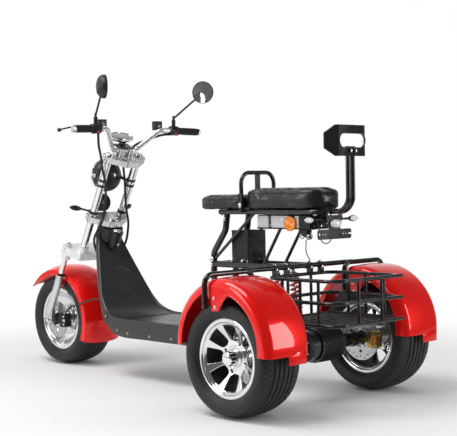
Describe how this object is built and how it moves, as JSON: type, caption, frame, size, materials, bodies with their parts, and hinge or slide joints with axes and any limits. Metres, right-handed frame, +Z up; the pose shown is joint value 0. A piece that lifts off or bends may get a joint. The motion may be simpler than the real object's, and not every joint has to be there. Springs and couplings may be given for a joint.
{
  "type": "three-wheeled electric scooter",
  "caption": "Fat-tyre electric three-wheeled scooter with a steered front wheel, two driven rear wheels, a double seat, a backrest and a rear basket.",
  "frame": {"origin": "on the ground, under the middle of the vehicle's box", "axes": "+X to the vehicle's left, +Y to the rear, +Z up; it drives towards -Y"},
  "size_m": [1.0316, 2.0899, 1.326],
  "materials": {
    "tyre_rubber": "matt, fine tread",
    "polished_alloy": "polished",
    "black_steel": "satin powder coat",
    "red_paint": "gloss metallic",
    "seat_vinyl": "satin vinyl",
    "black_plastic": "fine texture",
    "silver_alloy": "satin",
    "chrome": "polished",
    "grip_rubber": "matt",
    "black_alloy": "satin",
    "lamp_shell": "gloss",
    "orange_lens": "clear gloss",
    "battery_case": "matt",
    "gold_alloy": "anodised",
    "red_spring": "gloss",
    "cable_black": "satin"
  },
  "bodies": {
    "chassis": {"main_frame": "black_steel", "battery": "battery_case", "seat_frame": "black_steel", "leg_shield": "black_plastic", "neck_cover": "black_plastic", "front_seat": "seat_vinyl", "rear_seat": "seat_vinyl", "seat_hoop": "black_steel", "under_seat_box": "black_plastic", "controller_box": "black_plastic", "backrest_frame": "black_steel", "carrier_bar": "black_steel", "basket": "black_steel", "left_fender": "red_paint", "right_fender": "red_paint", "rear_axle": "black_steel", "swing_arm": "black_steel", "rear_shocks": "red_spring", "rear_calipers": "gold_alloy", "plate_bracket": "black_steel", "rear_lamps": "lamp_shell", "side_reflectors": "orange_lens", "seat_latch": "black_plastic", "rear_wires": "cable_black"},
    "steering": {"steering_stem": "silver_alloy", "top_clamp": "silver_alloy", "fork_tubes": "chrome", "fork_bridge": "silver_alloy", "fork_legs": "chrome", "fork_sliders": "silver_alloy", "front_axle": "chrome", "front_fender": "red_paint", "handlebar": "silver_alloy", "grips": "grip_rubber", "hand_controls": "black_plastic", "brake_levers": "black_alloy", "mirrors": "black_plastic", "instrument_pod": "black_plastic", "headlight": "lamp_shell", "horn": "black_alloy", "front_signals": "lamp_shell", "front_caliper": "black_alloy", "control_cables": "cable_black"},
    "front_wheel": {"front_tyre": "tyre_rubber", "front_rim": "polished_alloy"},
    "rear_left_wheel": {"left_tyre": "tyre_rubber", "left_rim": "polished_alloy"},
    "rear_right_wheel": {"right_tyre": "tyre_rubber", "right_rim": "polished_alloy"}
  },
  "joints": [
    {"name": "steering_turn", "type": "hinge", "parent": "chassis", "child": "steering", "pos_m": [0, -0.493, 0.7036], "axis": [0, 0.454, 0.891], "range_deg": [-40, 40], "deforming": ["control_cables"]},
    {"name": "front_wheel_spin", "type": "hinge", "parent": "steering", "child": "front_wheel", "pos_m": [0, -0.828, 0.217], "axis": [1, 0, 0], "continuous": true},
    {"name": "rear_left_wheel_spin", "type": "hinge", "parent": "chassis", "child": "rear_left_wheel", "pos_m": [0.3835, 0.747, 0.217], "axis": [1, 0, 0], "continuous": true},
    {"name": "rear_right_wheel_spin", "type": "hinge", "parent": "chassis", "child": "rear_right_wheel", "pos_m": [-0.3835, 0.747, 0.217], "axis": [1, 0, 0], "continuous": true}
  ]
}
